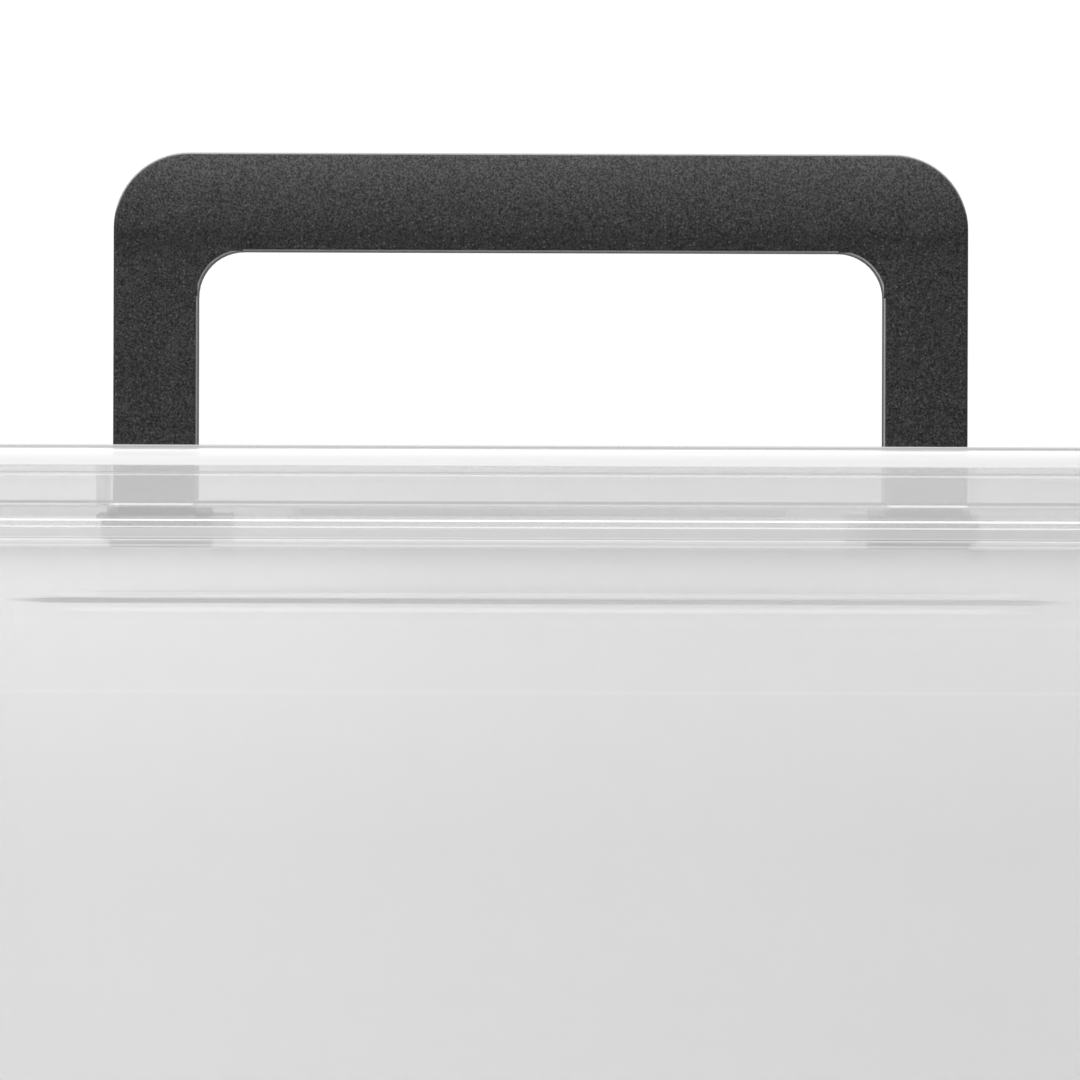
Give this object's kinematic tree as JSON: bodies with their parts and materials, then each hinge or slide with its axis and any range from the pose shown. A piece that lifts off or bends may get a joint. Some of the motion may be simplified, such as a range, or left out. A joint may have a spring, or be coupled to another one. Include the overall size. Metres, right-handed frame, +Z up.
{
  "type": "portable file box",
  "caption": "Translucent letter-size file box: drafted tub with moulded folder rails, recessed lid, fold-flat U handle and swinging end latches.",
  "frame": {"origin": "middle of the base on the ground", "axes": "+Z up, +X along the length towards the right latch, the front faces -Y"},
  "size_m": [0.3686, 0.18, 0.328],
  "materials": {
    "clear_tub": "hazy translucent polypropylene, satin",
    "clear_lid": "hazy translucent polypropylene, low gloss",
    "charcoal": "charcoal, fine matte grain with faint flecks"
  },
  "bodies": {
    "body": {"body": "clear_tub"},
    "lid": {"lid": "clear_lid"},
    "handle": {"handle": "charcoal"},
    "latch_left": {"latch_left": "charcoal"},
    "latch_right": {"latch_right": "charcoal"}
  },
  "joints": [
    {"name": "lid_lift", "type": "slide", "parent": "body", "child": "lid", "axis": [0, 0, 1], "range_m": [0, 0.066]},
    {"name": "handle_fold", "type": "hinge", "parent": "lid", "child": "handle", "pos_m": [0, 0.0076, 0.2702], "axis": [-1, 0, 0], "range_deg": [0, 90]},
    {"name": "latch_left_swing", "type": "hinge", "parent": "body", "child": "latch_left", "pos_m": [-0.1782, 0, 0.2475], "axis": [0, -1, 0], "range_deg": [0, 150]},
    {"name": "latch_right_swing", "type": "hinge", "parent": "body", "child": "latch_right", "pos_m": [0.1782, 0, 0.2475], "axis": [0, 1, 0], "range_deg": [0, 150]}
  ],
  "couplings": [
    {"joint": "latch_left_swing", "follows": "lid_lift", "rad_per_m": 39.6},
    {"joint": "latch_right_swing", "follows": "lid_lift", "rad_per_m": 39.6}
  ]
}
